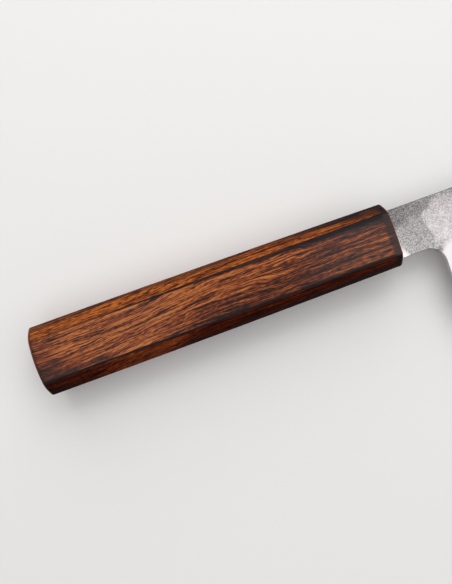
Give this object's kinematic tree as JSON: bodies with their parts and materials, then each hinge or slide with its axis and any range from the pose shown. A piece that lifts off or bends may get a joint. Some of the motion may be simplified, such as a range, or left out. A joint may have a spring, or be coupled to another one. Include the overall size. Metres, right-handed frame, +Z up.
{
  "type": "bunka knife",
  "caption": "Bunka kitchen knife with a clipped tip: a forge-welded layered blade, ground to a wide bevel, with its tapered tang bedded in an octagonal burnt-oak handle.",
  "frame": {"origin": "under the middle of the bounding box, on the surface that the knife lies on with its left side down", "axes": "+X along the handle's axis from the butt towards the tip, +Y from the cutting edge towards the spine, +Z up, out of the blade's right face"},
  "size_m": [0.3181, 0.0508, 0.02],
  "materials": {
    "edge_steel": "hard core steel, finely ground and polished towards the edge",
    "forged_cladding": "soft iron cladding: pear-skin grain on the neck and flats, satin ground bevel",
    "burnt_oak": "oak with burnt grain and burnt corners under a thin clear lacquer",
    "set_adhesive": "dark set epoxy"
  },
  "bodies": {
    "root": {"core_steel": "edge_steel", "right_cladding": "forged_cladding", "left_cladding": "forged_cladding", "handle": "burnt_oak", "tang_bed": "set_adhesive"}
  },
  "joints": []
}
